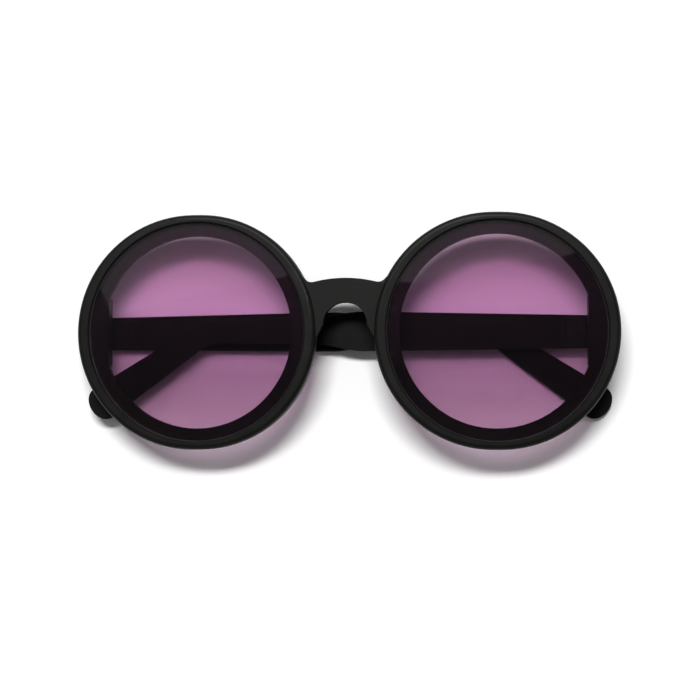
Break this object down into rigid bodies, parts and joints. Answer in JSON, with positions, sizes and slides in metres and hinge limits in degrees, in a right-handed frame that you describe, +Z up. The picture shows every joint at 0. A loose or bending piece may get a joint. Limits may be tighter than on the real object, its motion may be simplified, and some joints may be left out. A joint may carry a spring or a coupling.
{
  "type": "round sunglasses",
  "caption": "Round full-rim sunglasses with a keyhole bridge, domed tinted lenses and folding temples on barrel hinges, lying folded with the lenses up.",
  "frame": {"origin": "on the flat outer face of the left temple that the folded glasses lie on, straight under the middle of the bridge", "axes": "+X across the front towards the viewer's right, +Y towards the brow, +Z up from the table towards the lenses' front"},
  "size_m": [0.1451, 0.0628, 0.0152],
  "materials": {
    "frame": "matt black, soft grey sheen on the rounded rims",
    "lens": "polished purple tint, darker above the middle",
    "nose_pad": "matt black, bonded to the rim",
    "hinge": "black lacquer, satin",
    "screw": "black lacquer, slotted heads",
    "washer": "natural nylon",
    "core_wire": "drawn flat wire, hidden in the temple"
  },
  "bodies": {
    "front": {"front_frame": "frame", "left_lens": "lens", "right_lens": "lens", "left_nose_pad": "nose_pad", "right_nose_pad": "nose_pad", "left_front_leaf": "hinge", "right_front_leaf": "hinge", "left_front_leaf_screws": "screw", "right_front_leaf_screws": "screw"},
    "left_temple": {"left_temple": "frame", "left_temple_core": "core_wire", "left_temple_leaf": "hinge", "left_temple_leaf_screws": "screw", "left_hinge_screw": "screw", "left_screw_washer": "washer"},
    "right_temple": {"right_temple": "frame", "right_temple_core": "core_wire", "right_temple_leaf": "hinge", "right_temple_leaf_screws": "screw", "right_hinge_screw": "screw", "right_screw_washer": "washer"}
  },
  "joints": [
    {"name": "left_temple_hinge", "type": "hinge", "parent": "front", "child": "left_temple", "pos_m": [-0.06801, 0, 0.0042], "axis": [0, 1, 0], "range_deg": [0, 98.75]},
    {"name": "right_temple_hinge", "type": "hinge", "parent": "front", "child": "right_temple", "pos_m": [0.06818, 0, 0.00611], "axis": [0, -1, 0], "range_deg": [0, 100.88]}
  ]
}
